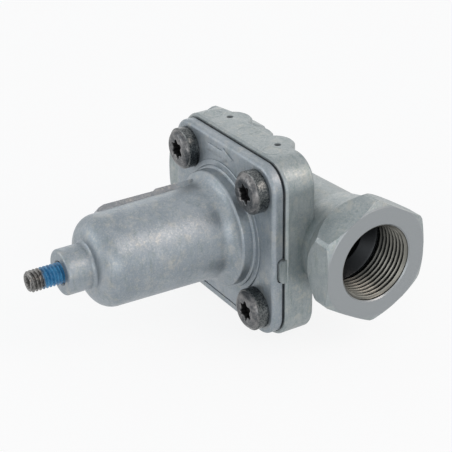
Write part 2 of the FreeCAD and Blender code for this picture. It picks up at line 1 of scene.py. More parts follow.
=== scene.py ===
# %% [markdown]
# # A diaphragm relief valve
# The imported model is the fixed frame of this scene: it holds every solid of the valve at its real
# size, in metres, and says which of them move together. The scene adds what a plain solid lacks:
# threads, sockets, round springs, cast marks, and a finish for each surface. Lengths here are
# written in millimetres from the crossing of the valve axis with the front of the body flange,
# because the real drawing would be written so, and one function carries them into the frame.

import json
import math

import bpy
import numpy as np
from mathutils import Matrix


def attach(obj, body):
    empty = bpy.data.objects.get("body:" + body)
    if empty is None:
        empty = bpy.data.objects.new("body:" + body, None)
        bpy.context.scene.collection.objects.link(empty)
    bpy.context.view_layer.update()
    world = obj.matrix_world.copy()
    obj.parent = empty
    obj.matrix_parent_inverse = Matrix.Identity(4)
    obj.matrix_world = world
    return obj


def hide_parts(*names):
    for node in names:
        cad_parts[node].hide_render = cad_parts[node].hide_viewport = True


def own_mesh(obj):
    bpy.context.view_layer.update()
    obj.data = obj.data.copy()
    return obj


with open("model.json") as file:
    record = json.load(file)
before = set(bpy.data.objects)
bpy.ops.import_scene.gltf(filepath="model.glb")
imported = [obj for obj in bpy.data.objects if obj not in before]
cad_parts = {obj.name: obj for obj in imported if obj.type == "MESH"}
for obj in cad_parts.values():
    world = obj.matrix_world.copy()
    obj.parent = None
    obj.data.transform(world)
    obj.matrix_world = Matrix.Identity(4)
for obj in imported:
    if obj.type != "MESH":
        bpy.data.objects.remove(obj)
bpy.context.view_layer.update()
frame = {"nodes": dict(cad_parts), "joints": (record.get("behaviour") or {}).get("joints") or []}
screw_turn = next(j for j in frame["joints"] if j["name"] == "screw_turn")
ORIGIN = np.array(screw_turn["pos_m"])
MIDDLE_X, FLANGE_Y, MIDDLE_Z = (float(v) for v in ORIGIN)
MM = 0.001


def to_frame(points):
    """Millimetres from the flange crossing become metres in the frame: origin + 0.001 * point."""
    return ORIGIN + MM * np.asarray(points, dtype=float)


# %% [markdown]
# ## Surfaces from two parameters
# A turned part, a thread or a wire is a grid of points: one parameter runs along a profile, the
# other runs round or along a path. A primitive with modifiers could come close, but a grid gives
# the true thread form and the true socket outline with no extra steps. One helper joins the grid
# into faces, and closes it where the shape closes.

# %% The helper that joins a grid into a mesh
SHARP_ANGLE = math.radians(35)


def skin(name, grid, body, close_rows=False, cap_start=False, cap_end=False, outward=True):
    """Mesh over grid[i, j]: corners (i, j), (i, j+1), (i+1, j+1), (i+1, j) make each face.
    Columns always close. A cap joins the first or last row to its own middle point."""
    rows, columns, _ = grid.shape
    i = np.arange(rows if close_rows else rows - 1)[:, None]
    j = np.arange(columns)[None, :]
    i_next = (i + 1) % rows
    j_next = (j + 1) % columns
    quads = np.stack([i * columns + j, i * columns + j_next,
                      i_next * columns + j_next, i_next * columns + j], axis=-1).reshape(-1, 4)
    points = [grid.reshape(-1, 3)]
    faces = quads.tolist()
    ring = np.arange(columns)
    count = rows * columns
    for wanted, row, turned_round in ((cap_start, 0, True), (cap_end, rows - 1, False)):
        if wanted:
            points.append(grid[row].mean(axis=0)[None])
            a, b = row * columns + ring, row * columns + (ring + 1) % columns
            pair = (b, a) if turned_round else (a, b)
            faces += np.stack([pair[0], pair[1], np.full(columns, count)], axis=-1).tolist()
            count += 1
    if not outward:
        faces = [face[::-1] for face in faces]
    mesh = bpy.data.meshes.new(name)
    mesh.from_pydata(to_frame(np.concatenate(points)).tolist(), [], faces)
    mesh.polygons.foreach_set("use_smooth", np.ones(len(faces), dtype=bool))
    mesh.set_sharp_from_angle(angle=SHARP_ANGLE)
    mesh.update()
    piece = bpy.data.objects.new(name, mesh)
    bpy.context.collection.objects.link(piece)
    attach(piece, body)
    print(name, "faces:", len(faces), "rides on", body)
    return piece


def around(count):
    """Angles of a full turn, without repeating the first."""
    return np.linspace(0, 2 * np.pi, count, endpoint=False)


def turned(radius, height, angle, centre=(0.0, 0.0)):
    """Points of a shape turned about an axis along Y: x = cx + r sin(a), z = cz + r cos(a)."""
    x = centre[0] + radius * np.sin(angle)
    z = centre[1] + radius * np.cos(angle)
    return np.stack([x, np.broadcast_to(height, x.shape), z], axis=-1)


# %% [markdown]
# ## The threads of the ports
# Each port has a metric fine thread cut into its bore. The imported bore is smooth, at the thread's
# largest radius. A boolean cut of a swept triangle would do it, but it is slow and fragile. The
# thread is a height that depends only on how far along the axis and how far round a point is,
# so a plain tube grid with that height added is exact, and it closes on itself after one turn.

# %% Port threads
PORT_FACE_X = 42.0
PORT_AXIS_Y = 18.6
PORT_RADIUS = 11.0
PORT_PITCH = 1.5
PORT_THREAD_DEPTH = 0.80
PORT_THREAD_START, PORT_THREAD_END = 0.35, 13.4
RUN_IN, RUN_OUT = 0.9, 1.2
CLEAR_OF_BORE, INTO_METAL = 0.01, 0.06
THREAD_FLAT = 0.14


def thread_depth(along, angle, pitch, depth):
    """Share of a pitch p = along / pitch - angle / 2 pi; depth follows a triangle wave of p,
    cut flat at about one seventh of its height at both ends."""
    share = np.mod(along / pitch - angle / (2 * np.pi), 1.0)
    wave = 1 - np.abs(2 * share - 1)
    return depth * np.clip((wave - THREAD_FLAT) / (1 - 2 * THREAD_FLAT), 0.0, 1.0)


def port_thread(name, side):
    """Tube grid inside the bore: radius = bore - depth of thread, faded out at both ends,
    closed behind by two rows of points just inside the metal."""
    along = np.linspace(PORT_THREAD_START, PORT_THREAD_END, 150)[:, None]
    angle = around(120)[None, :]
    fade_in = np.clip((along - PORT_THREAD_START) / RUN_IN, 0, 1)
    fade_out = np.clip((PORT_THREAD_END - along) / RUN_OUT, 0, 1)
    depth = thread_depth(along, angle, PORT_PITCH, PORT_THREAD_DEPTH) * fade_in * fade_out
    radius = PORT_RADIUS - CLEAR_OF_BORE - depth
    radius = np.concatenate([radius, np.full((2, angle.size), PORT_RADIUS + INTO_METAL)])
    x = np.concatenate([along, [[PORT_THREAD_END], [PORT_THREAD_START]]])
    grid = np.stack([side * (PORT_FACE_X - np.broadcast_to(x, radius.shape)),
                     PORT_AXIS_Y + radius * np.sin(angle), radius * np.cos(angle)], axis=-1)
    return skin(name, grid, "housing", close_rows=True, outward=side > 0)


port_threads = [port_thread("port_thread_right", 1), port_thread("port_thread_left", -1)]

# %% [markdown]
# ## The cover screws
# Four short screws hold the spring housing. Their heads are pressed: a flat front, a wide
# rounding that ends on a small ledge, a straight side, and a six-lobed socket. The head is one
# profile turned about the screw's axis, and in the socket the radius also swells and shrinks six
# times a turn.

# %% Cover screws
COVER_FACE_Y = -3.8
SCREW_OFFSET = 18.0
SHANK_R = 2.98
HEAD_R = 6.0
HEAD_T = 4.4
SOCKET_R = 2.68
LOBE_MEAN, LOBE_SWING = 2.42, 0.44


def six_lobes(angle):
    """Radius of the socket: a mean plus a swing times a flattened cosine of six turns."""
    wave = np.cos(6 * angle)
    return LOBE_MEAN + LOBE_SWING * np.sign(wave) * np.abs(wave) ** 0.75


def cover_screw(name, x, z, twist):
    """Profile rows (radius, height, weight) turned about the screw; a row mixes the circle with
    the six-lobed outline by its weight from 0 to 1."""
    angle = around(96)[None, :]
    top = COVER_FACE_Y - HEAD_T
    dome = np.radians(np.linspace(35, 90, 8))
    shank = [(2.85, 6.0, 0), (SHANK_R, 5.6, 0), (SHANK_R, COVER_FACE_Y, 0)]
    side = [(HEAD_R - 0.12, COVER_FACE_Y, 0), (HEAD_R, COVER_FACE_Y - 0.15, 0),
            (HEAD_R, top + 1.5, 0)]
    ledge = [(HEAD_R - 0.1, top + 1.38, 0), (HEAD_R - 0.38, top + 1.3, 0),
             (HEAD_R - 0.5, top + 1.2, 0)]
    rounding = [(HEAD_R - 0.15 - 2.0 * (1 - np.cos(c)), top + 2.5 * (1 - np.sin(c)), 0)
                for c in dome]
    mouth = [(3.4, top + 0.02, 0), (3.15, top + 0.06, 0.2), (3.0, top + 0.1, 0.6),
             (2.88, top + 0.14, 0.9), (2.78, top + 0.22, 1)]
    socket = [(SOCKET_R, top + 0.5, 1), (2.6, top + 2.2, 1),
              (2.2, top + 2.4, 1), (0.9, top + 2.55, 0.7)]
    rows = shank + side + ledge + rounding + mouth + socket
    radius, height, weight = (np.array(column)[:, None] for column in zip(*rows))
    lobed = six_lobes(angle + twist) * radius / SOCKET_R
    shaped = (1 - weight) * radius + weight * np.minimum(lobed, radius * 1.09)
    grid = turned(shaped, height, angle, (x, z))
    return skin(name, grid, "housing", cap_start=True, cap_end=True, outward=False)


SCREW_PLACES = ((-1, 1, 0.15), (1, 1, 0.32), (1, -1, 0.05), (-1, -1, 0.4))
cover_screws = [cover_screw(f"cover_screw_{number}", sx * SCREW_OFFSET, sz * SCREW_OFFSET, twist)
                for number, (sx, sz, twist) in enumerate(SCREW_PLACES, start=1)]
for piece in cover_screws:
    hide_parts("cover_screws")

# %% [markdown]
# ## The adjusting screw
# A headless screw with a coarse thread runs through the nose. Its outer end has a hexagon socket.
# A patch of blue locking compound, which keeps the setting, lies on the threads next to the nose.
# The thread is made as in the ports, but it stands out from a smaller radius.

# %% Adjusting screw
SCREW_TIP_Y = -64.1
SCREW_END_Y = -39.1
SCREW_PITCH = 1.0
SCREW_R = 3.0
SCREW_CORE_R = 2.42
SCREW_THREAD_DEPTH = 0.57
THREADED = 24.0
SLOPE = 0.9


def hexagon(angle, across_flats):
    """Distance from the middle to a hexagon's side: half the flats over the cosine of the angle
    to the nearest flat."""
    near = np.mod(angle, np.pi / 3) - np.pi / 6
    return across_flats / 2 / np.cos(near)


def adjusting_screw():
    """Rows from the inner end to the tip: a short taper, the thread and the tip's cone, then
    down the hexagon socket to its floor. A socket row mixes a circle with the hexagon."""
    angle = around(96)[None, :]
    along = np.arange(0.0, THREADED, 0.07)[:, None]
    thread = SCREW_CORE_R + thread_depth(along, angle, SCREW_PITCH, SCREW_THREAD_DEPTH)
    cone = np.minimum(2.45 + along * SLOPE, SCREW_R)
    taper = np.clip(along - 22.6, 0, 1.4) * SLOPE
    outside = np.minimum(thread, cone - taper)[::-1]
    height = (SCREW_TIP_Y + along)[::-1]
    socket_rows = [(2.1, 0.0, 0.0), (1.72, 0.0, 1.0), (1.55, 0.22, 1.0),
                   (1.5, 0.3, 1.0), (1.5, 3.3, 1.0), (0.7, 3.7, 1.0)]
    radii = [np.full_like(angle, 1.55), outside]
    heights = [[[SCREW_END_Y]], height]
    for size, deep, weight in socket_rows:
        shape = (1 - weight) * size + weight * hexagon(angle, 2 * size)
        radii.append(np.minimum(shape, 2.3))
        heights.append([[SCREW_TIP_Y + deep]])
    grid = turned(np.concatenate(radii), np.concatenate(heights), angle)
    return skin("adjusting_screw_thread", grid, "screw",
                cap_start=True, cap_end=True, outward=False)


adjusting = adjusting_screw()
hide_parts("adjusting_screw")

# %% [markdown]
# ## The two springs
# In the solids a spring is a six-sided wire with open ends. A real one is a round wire whose turns
# close at both ends, so that it stands square. Its height is drawn against the number of turns,
# with a slow rise in the first and the last turn.

# %% Main spring and return valve spring
MAIN_START, MAIN_END = -37.7, -2.4
RETURN_START, RETURN_END = 5.6, 9.3


def coil(name, x, mean, wire, turns, start, end):
    """Wire of radius wire along a helix: the ring (mean + wire cos a, wire sin a) is carried
    round by the angle t, while its height climbs by the wire's thickness in each end turn."""
    t = np.linspace(0, 2 * np.pi * turns, int(turns * 36) + 1)[:, None]
    climb = end - start - 2 * wire
    known = [0, 2 * wire, climb - 2 * wire, climb]
    centre = start + wire + np.interp(t / (2 * np.pi), [0, 1, turns - 1, turns], known)
    ring = around(14)[None, :]
    grid = turned(mean + wire * np.cos(ring), centre + wire * np.sin(ring), t, (x, 0.0))
    return skin(name, grid, "housing", cap_start=True, cap_end=True, outward=False)


main_coil = coil("main_spring_wire", 0.0, 8.7, 1.2, 7.5, MAIN_START, MAIN_END)
return_coil = coil("return_spring_wire", -12.0, 2.16, 0.25, 5.0, RETURN_START, RETURN_END)
for piece, node in ((main_coil, "main_spring"), (return_coil, "return_valve_spring")):
    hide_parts(node)

# %% [markdown]
# ## The flow arrow
# The casting has a flat arrow on the flange, from inlet to outlet. It stands only a third of a
# millimetre proud. Its outline is drawn once, and repeated at rising heights with small steps
# in, which gives the soft drafted edge that a mould leaves.

# %% Flow arrow on the spring housing
ARROW = ((-7.0, 23.2), (0.6, 23.2), (0.6, 24.3), (6.2, 22.1),
         (0.6, 19.8), (0.6, 20.9), (-7.0, 20.9))
ARROW_POINTS = 140
ARROW_MIDDLE_Z = 22.05
ARROW_PROUD = 0.32


def resampled(corners, count):
    """Points evenly spread along a closed outline, by its length measured from the start."""
    closed = np.vstack([corners, corners[:1]])
    length = np.concatenate([[0], np.cumsum(np.linalg.norm(np.diff(closed, axis=0), axis=1))])
    at = np.linspace(0, length[-1], count, endpoint=False)
    return np.stack([np.interp(at, length, closed[:, k]) for k in range(2)], axis=-1)


def flow_arrow():
    """Rows of one outline at rising heights, each drawn towards the outline's spine."""
    outline = resampled(np.array(ARROW), ARROW_POINTS)
    spine = np.stack([np.clip(outline[:, 0], -6.4, 5.0),
                      np.full(ARROW_POINTS, ARROW_MIDDLE_Z)], axis=-1)
    rows = []
    for inward, proud in ((0.0, -0.05), (0.0, 0.14), (0.03, 0.28),
                          (0.08, ARROW_PROUD), (1.0, ARROW_PROUD)):
        flat = outline + inward * (spine - outline)
        height = np.full(ARROW_POINTS, COVER_FACE_Y - proud)
        rows.append(np.stack([flat[:, 0], height, flat[:, 1]], axis=-1))
    return skin("flow_arrow", np.array(rows), "housing", cap_start=True)


arrow = flow_arrow()

# %% [markdown]
# ## The lip of the body flange
# The casting's flange ends in a low lip round its front, which closes most of the seam to the
# spring housing and leaves the rubber's edge as a thin dark line. It follows a square with round
# corners. All of its rows share the corners' centres, so only the corner radius changes.

# %% Lip of the body flange
LIP_HALF, LIP_CORNER = 26.8, 8.2
QUARTER_POINTS = 14


def flange_lip():
    """Rows (inset, height): corner centre + (corner radius - inset) * (cos a, sin a) for each
    quarter turn; the straight sides come from the gaps between quarters."""
    quarter = np.linspace(0, np.pi / 2, QUARTER_POINTS)
    angle = np.concatenate([quarter + k * np.pi / 2 for k in range(4)])
    centre = LIP_HALF - LIP_CORNER
    signs = np.repeat([(1, 1), (-1, 1), (-1, -1), (1, -1)], QUARTER_POINTS, axis=0)
    profile = np.array([(0.0, 0.41), (0.1, 0.2), (0.36, -0.24), (0.44, -0.3),
                        (0.9, -0.3), (0.98, -0.24), (0.98, 0.1)])
    reach = LIP_CORNER - profile[:, :1]
    x = centre * signs[:, 0] + reach * np.cos(angle)
    z = centre * signs[:, 1] + reach * np.sin(angle)
    grid = np.stack([x, np.broadcast_to(profile[:, 1:], x.shape), z], axis=-1)
    return skin("body_flange_lip", grid, "housing")


lip = flange_lip()

# %% [markdown]
# ## Shader maths as expressions
# A finish is a sum of simple patterns. Writing them as expressions keeps them short, so one class
# wraps a socket and turns + - * ** into Math nodes. Every other node comes from one method.


# %% The class that wraps a socket
class Value:
    """A socket of a material, which can be added, multiplied and clamped like a number."""

    def __init__(self, finish, socket):
        self.finish = finish
        self.socket = socket

    def _math(self, operation, *terms):
        return self.finish.node("ShaderNodeMath", dict(enumerate(terms)), operation=operation)

    def __add__(self, other):
        return self._math("ADD", self, other)

    __radd__ = __add__

    def __mul__(self, other):
        return self._math("MULTIPLY", self, other)

    __rmul__ = __mul__

    def __sub__(self, other):
        return self._math("SUBTRACT", self, other)

    def __rsub__(self, other):
        return self._math("SUBTRACT", other, self)

    def __pow__(self, other):
        return self._math("POWER", self, other)

    def __abs__(self):
        return self._math("ABSOLUTE", self)

    def step(self, low, high):
        """0 below low, 1 above high, and a smooth rise between."""
        return self.finish.node("ShaderNodeMapRange", {0: self, 1: low, 2: high},
                                interpolation_type="SMOOTHSTEP")


# %% The class that holds a material
class Finish:
    """A material with its nodes. place holds the object coordinates, x y z their parts."""

    def __init__(self, name):
        self.material = bpy.data.materials.new(name)
        self.material.use_nodes = True
        self.tree = self.material.node_tree
        self.shader = self.tree.nodes["Principled BSDF"]
        self.place = self.node("ShaderNodeTexCoord", {}, output="Object")
        split = self.node("ShaderNodeSeparateXYZ", {0: self.place})
        outputs = split.socket.node.outputs
        self.x, self.y, self.z = (Value(self, outputs[k]) for k in range(3))

    def node(self, kind, inputs, output=0, **settings):
        """A node of a kind: its settings first, then the values or links of its sockets."""
        made = self.tree.nodes.new(kind)
        for key, value in settings.items():
            setattr(made, key, value)
        for key, value in inputs.items():
            self.join(made.inputs[key], value)
        return Value(self, made.outputs[output])

    def join(self, socket, value):
        """Links a Value to a socket, or sets the socket to a constant."""
        if isinstance(value, Value):
            self.tree.links.new(value.socket, socket)
        else:
            socket.default_value = value

    def set(self, **values):
        """Values or links for the shader's sockets, by name with _ for a space."""
        for key, value in values.items():
            self.join(self.shader.inputs[key.replace("_", " ")], value)

    def noise(self, size_mm, detail=2.0, rough=0.5, stretch=(1, 1, 1)):
        """Cloudy pattern with blobs about size_mm across, and longer where stretch is under 1."""
        place = self.place
        if stretch != (1, 1, 1):
            place = self.node("ShaderNodeVectorMath", {0: place, 1: stretch}, operation="MULTIPLY")
        inputs = {"Vector": place, "Scale": 1 / (size_mm * MM), "Detail": detail,
                  "Roughness": rough}
        return self.node("ShaderNodeTexNoise", inputs, output="Fac")

    def mix(self, factor, first, second):
        """Colour between first and second."""
        return self.node("ShaderNodeMix", {0: factor, 6: first, 7: second},
                         output=2, data_type="RGBA")

    def bump(self, height, distance_mm, strength):
        """Normal of a surface that rises by distance_mm where height is 1."""
        inputs = {"Height": height, "Strength": strength, "Distance": distance_mm * MM}
        return self.node("ShaderNodeBump", inputs)


def linear(c):
    """One screen value, 0 to 255, as the linear value that a shader takes."""
    return ((c / 255 + 0.055) / 1.055) ** 2.4 if c > 10 else c / 255 / 12.92


def rgb(red, green, blue):
    """A colour given as it looks on screen."""
    return linear(red), linear(green), linear(blue), 1.0


def distance(first, second):
    """Straight distance from two offsets at right angles: the root of the sum of squares."""
    return (first ** 2.0 + second ** 2.0) ** 0.5


print("a middle grey of 128 is", round(linear(128), 3))

# %% [markdown]
# ## Blasted cast aluminium
# Both castings are die-cast and blasted: grey with a cool tint, cloudy in patches a few mm wide,
# with fine pits and cream specks of painted glint. Two places need more than that pattern.
# The rib on the barrel has painted shade along its sides. On the body, the port faces and bores
# were machined, so the pits and clouds stop there, with painted shade deep inside a bore, and the
# ejector pins left faint rings on top.

# %% The rib and the machined places
RIB_LEAN = math.radians(42)
RIB_END_Y = FLANGE_Y - 12.0 * MM
PORT_Y = FLANGE_Y + PORT_AXIS_Y * MM
DIMPLE_Y = FLANGE_Y + 6.6 * MM
DIMPLE_X = 12.2 * MM
PIN_MARKS = ((-17.0, 3.8), (-0.9, 5.1), (14.6, 3.1))
PIN_R = 2.6 * MM


def painted_rib_shade(f):
    """Share of painted shade, 0 to 0.6, on the rib and most on its sides. The rib leans from the
    vertical:
    along is the way out from the axis in the rib's plane, and off is the distance from that plane."""
    beside = f.x - MIDDLE_X
    above = f.z - MIDDLE_Z
    along = beside * -math.sin(RIB_LEAN) + above * math.cos(RIB_LEAN)
    off = abs(beside * math.cos(RIB_LEAN) + above * math.sin(RIB_LEAN))
    rib = along.step(12.85 * MM, 13.05 * MM) * (1 - off.step(1.95 * MM, 2.2 * MM))
    rib = rib * (1 - f.y.step(RIB_END_Y - 4.0 * MM, RIB_END_Y))
    flank = rib * off.step(1.7 * MM, 1.9 * MM)
    return 0.5 * flank + 0.1 * rib


def machine_ports(f, colour, rough, height):
    """Turned rings on the port faces and in the bores, and painted shade deep inside a bore."""
    out = abs(f.x)
    radius = distance(f.y - PORT_Y, f.z - MIDDLE_Z)
    face = out.step(41.7 * MM, 41.9 * MM)
    bore = (1 - radius.step(11.5 * MM, 11.6 * MM)) * out.step(20.0 * MM, 20.5 * MM)
    cut = face + bore - face * bore
    along_radius = f.node("ShaderNodeCombineXYZ", {0: radius})
    rings = f.node("ShaderNodeTexNoise", {"Vector": along_radius, "Scale": 9000.0}, output="Fac")
    turned_colour = f.mix(rings, rgb(138, 143, 146), rgb(160, 164, 166))
    # painted shade: deep inside a bore the turned colour goes nearly black
    deep = bore * (1 - out.step(27.5 * MM, 30.0 * MM))
    turned_colour = f.mix(deep, turned_colour, rgb(30, 33, 36))
    colour = f.mix(cut, colour, turned_colour)
    rough = rough * (1 - cut) + cut * (0.3 + 0.1 * rings)
    height = height * (1 - cut) + cut * 0.25 * rings
    return colour, rough, height


def mark_top(f, colour, rough, height):
    """Rings of the ejector pins as relief, and shade in the two dimples."""
    top = f.z.step(MIDDLE_Z + 26.3 * MM, MIDDLE_Z + 26.6 * MM)
    for x, y in PIN_MARKS:
        away = distance(f.x - (MIDDLE_X + x * MM), f.y - (FLANGE_Y + y * MM))
        height = height + 1.3 * top * (1 - (abs(away - PIN_R) * 1000.0).step(0.1, 0.45))
    from_dimple = distance(abs(f.x) - DIMPLE_X, f.y - DIMPLE_Y)
    high_up = f.z.step(MIDDLE_Z + 26.2 * MM, MIDDLE_Z + 26.3 * MM)
    dimple = (1 - (from_dimple * 1000.0).step(0.7, 1.15)) * high_up
    return f.mix(0.85 * dimple, colour, rgb(62, 66, 70)), rough + 0.3 * dimple, height


print("rib ends at y", round(RIB_END_Y, 4), "ports at y", round(PORT_Y, 4))


# %% Cast aluminium
def cast_aluminium(name, is_body):
    """Clouds and patches set the colour, runs and painted cream glints vary it, pits and grain
    roughen it.
    """
    f = Finish(name)
    clouds = f.noise(5.0, 3.0, 0.55)
    patches = f.noise(14.0, 2.0, 0.5)
    grain = f.noise(0.9, 3.0, 0.6)
    pits = f.noise(0.42, 2.0, 0.5)
    light = (0.35 * clouds + 0.25 * patches + 0.2 * grain + 0.2 * pits).step(0.34, 0.68)
    if is_body:
        colour = f.mix(light, rgb(136, 146, 149), rgb(166, 172, 173))
    else:
        colour = f.mix(light, rgb(133, 143, 151), rgb(160, 167, 173))
    runs = f.noise(1.1, 3.0, 0.6, (1, 1, 0.16)).step(0.48, 0.7)
    colour = f.mix((0.45 if is_body else 0.32) * runs, colour, rgb(116, 130, 127))
    glints = f.noise(0.5, 3.0, 0.7).step(0.52, 0.62)
    # painted glint: cream specks on the glints, mixed with warm patches of random tone
    warm_tone_and_painted_glints = 0.3 * f.noise(3.0, 3.0, 0.6).step(0.5, 0.75) + 0.18 * glints
    colour = f.mix(warm_tone_and_painted_glints, colour, rgb(196, 190, 178))
    rough = 0.45 + 0.12 * (grain - 0.5) - 0.13 * glints
    height = 0.7 * pits + 0.45 * grain
    if is_body:
        colour, rough, height = machine_ports(f, colour, rough, height)
        colour, rough, height = mark_top(f, colour, rough, height)
    else:
        # painted shade: the rib's sides are mixed towards dark grey
        colour = f.mix(painted_rib_shade(f), colour, rgb(84, 86, 90))
    f.set(Base_Color=colour, Metallic=0.65, Roughness=rough, Normal=f.bump(height, 0.075, 0.9))
    return f.material


body_finish = cast_aluminium("cast_body", True)
housing_finish = cast_aluminium("cast_housing", False)
print("cast finishes:", [len(m.node_tree.nodes) for m in (body_finish, housing_finish)], "nodes")

# %% [markdown]
# ## Plain metals and rubber
# The inside pieces are zinc-plated steel, dark phosphated steel, oiled spring wire, turned brass
# and black rubber. They share one recipe with their own colours, roughness and grain.


# %% Plain metals and rubber
def plain_metal(name, dark, bright, rough, grain_mm, metallic=1.0):
    """Two tones mixed by fine grain and by clouds six times as wide."""
    f = Finish(name)
    grain = f.noise(grain_mm, 3.0, 0.6)
    clouds = f.noise(grain_mm * 6, 2.0, 0.5)
    colour = f.mix((0.5 * grain + 0.5 * clouds).step(0.35, 0.68), dark, bright)
    f.set(Base_Color=colour, Metallic=metallic, Roughness=rough + 0.25 * (grain - 0.5),
          Normal=f.bump(grain, 0.02, 0.7))
    return f.material


phosphated = plain_metal("phosphated_steel", rgb(58, 60, 62), rgb(122, 122, 122), 0.34, 0.5)
zinc = plain_metal("zinc_plated_steel", rgb(150, 150, 140), rgb(190, 190, 178), 0.30, 0.6)
spring_wire = plain_metal("oiled_spring_wire", rgb(60, 60, 62), rgb(100, 100, 102), 0.32, 0.8)
brass = plain_metal("turned_brass", rgb(170, 140, 80), rgb(205, 178, 110), 0.28, 0.5)
rubber = plain_metal("black_rubber", rgb(42, 46, 52), rgb(60, 64, 70), 0.62, 0.7, metallic=0.0)
print("plain finishes:", [m.name for m in (phosphated, zinc, spring_wire, brass, rubber)])

# %% [markdown]
# ## Screws, threads and the locking patch
# Three finishes need to know where they are. A cover screw has painted shade in its socket and is
# streaky on its side. A port thread has painted highlights on its crests and painted shade in its
# grooves. The adjusting screw is blue between two heights.


# %% Cover screw heads
def head_finish():
    """Phosphated steel, bright and dark in patches, with painted shade, nearly black, down in the
    socket.
    """
    f = Finish("phosphated_heads")
    grain = f.noise(0.5, 3.0, 0.6)
    clouds = f.noise(2.2, 3.0, 0.6)
    front = FLANGE_Y + (COVER_FACE_Y - HEAD_T) * MM
    side = f.y.step(front + 1.2 * MM, front + 1.4 * MM)
    mottle = (0.45 * grain + 0.55 * clouds).step(0.36, 0.64)
    mottled = f.mix(mottle, rgb(80, 83, 86), rgb(132, 131, 131))
    streaks = f.mix(grain.step(0.4, 0.6), rgb(66, 70, 72), rgb(104, 107, 107))
    from_axis = distance(abs(f.x - MIDDLE_X) - SCREW_OFFSET * MM,
                         abs(f.z - MIDDLE_Z) - SCREW_OFFSET * MM)
    # painted shade: nearly black down in the socket
    in_socket = 1 - from_axis.step(2.95 * MM, 3.1 * MM)
    deep = in_socket * f.y.step(front + 0.25 * MM, front + 0.7 * MM)
    f.set(Base_Color=f.mix(deep, f.mix(side, mottled, streaks), rgb(16, 16, 18)),
          Metallic=1 - 0.6 * deep, Roughness=0.27 + 0.2 * grain - 0.08 * side + 0.3 * deep,
          Normal=f.bump(grain, 0.02, 0.7))
    return f.material


# %% Port threads and adjusting screw
PATCH_START_Y = FLANGE_Y - 60.2 * MM


def cut_thread():
    """Bare metal with painted highlights on its crests, and painted shade down in the grooves and
    the deeper it lies in the port. The distance from the port's axis tells a crest from a groove,
    and near the mouth the grooves get less painted shade."""
    f = Finish("cut_thread")
    grain = f.noise(1.6, 2.0, 0.5)
    inward = abs(f.x).step(26.5 * MM, 37.5 * MM)
    mouth = abs(f.x).step(40.4 * MM, 41.2 * MM)
    radius = distance(f.y - PORT_Y, f.z - MIDDLE_Z)
    # painted light and shade: crests bright near the mouth, grooves and the deep port dark
    crest = 1 - radius.step(10.3 * MM, 10.85 * MM) * (1 - 0.75 * mouth)
    colour = f.mix(inward * crest * (0.7 + 0.3 * grain), rgb(34, 36, 37), rgb(140, 139, 132))
    f.set(Base_Color=colour, Metallic=0.95, Roughness=0.3 + 0.1 * grain)
    return f.material


def locking_screw():
    """Phosphated steel; blue where the height along the screw is within the patch, with an edge
    that wanders by a fraction of a millimetre."""
    f = Finish("screw_with_locking_patch")
    grain = f.noise(0.4, 3.0, 0.6)
    steel = f.mix(grain.step(0.3, 0.7), rgb(80, 80, 82), rgb(142, 141, 138))
    edge = f.y + 1.6 * MM * (f.noise(1.5, 3.0) - 0.5)
    begun = edge.step(PATCH_START_Y - 0.6 * MM, PATCH_START_Y + 0.7 * MM)
    ended = f.y.step(PATCH_START_Y + 7.6 * MM, PATCH_START_Y + 8.0 * MM)
    patch = begun * (1 - ended)
    blue = f.mix(f.noise(1.6, 2.0).step(0.3, 0.7), rgb(36, 104, 150), rgb(70, 140, 182))
    f.set(Base_Color=f.mix(patch, steel, blue), Metallic=1 - patch, Roughness=0.34 + 0.08 * patch,
          Normal=f.bump(grain, 0.012, 0.6))
    return f.material


head_metal = head_finish()
thread_metal = cut_thread()
patch_finish = locking_screw()
print("patch starts at y", round(PATCH_START_Y, 4))

# %% [markdown]
# ## Dressing
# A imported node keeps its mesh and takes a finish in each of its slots. A new piece takes its
# finish as its only one. A node that a new piece stands for is dressed too, as it may be shown
# by itself elsewhere.

# %% Dress every piece
NODE_FINISHES = {
    "valve_body": body_finish, "spring_housing": housing_finish,
    "cover_screws": head_metal, "adjusting_screw": patch_finish,
    "lock_washer": phosphated, "diaphragm_nut": phosphated, "seal_screw": phosphated,
    "upper_spring_plate": zinc, "diaphragm_plate": zinc,
    "seal_washer": zinc, "return_valve_cap": zinc,
    "main_spring": spring_wire, "return_valve_spring": spring_wire,
    "piston": brass, "seat_ring": brass, "return_valve_plate": brass,
    "diaphragm": rubber, "valve_seal": rubber, "seat_ring_seal": rubber,
}
PIECE_FINISHES = [(cover_screws, head_metal), ([adjusting], patch_finish),
                  (port_threads, thread_metal), ([main_coil, return_coil], spring_wire),
                  ([arrow], housing_finish), ([lip], body_finish)]

for node, material in NODE_FINISHES.items():
    thing = frame["nodes"][node]
    for slot in thing.material_slots:
        slot.material = material
    if not thing.material_slots:
        thing.data.materials.append(material)
for pieces, material in PIECE_FINISHES:
    for piece in pieces:
        piece.data.materials.append(material)
pieces_added = sum(len(pieces) for pieces, _ in PIECE_FINISHES)
print("dressed nodes:", len(NODE_FINISHES), "new pieces:", pieces_added)

# %% [markdown]
# ## The springs' own meshes
# A joint moves a whole body, and a spring belongs to two. Each spring gets a mesh of its own,
# and the share of its length that it keeps at the joint's full travel is printed.

# %% Springs get meshes of their own
SPRINGS = ((main_coil, "plate_feed", MAIN_END, 35.3, 5.0),
           (return_coil, "return_lift", RETURN_START, 3.7, 1.2))
for piece, joint, fixed, length, travel in SPRINGS:
    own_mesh(piece)
    print(piece.name, "keeps", round((length - travel) / length, 3))

# %% [markdown]
# ## Floor
# The valve stands on a pale floor that keeps its shadow. Most of what the camera and the metal see
# of the floor is plain white. Light Path limits that white to their rays, so that it casts no
# light of its own.

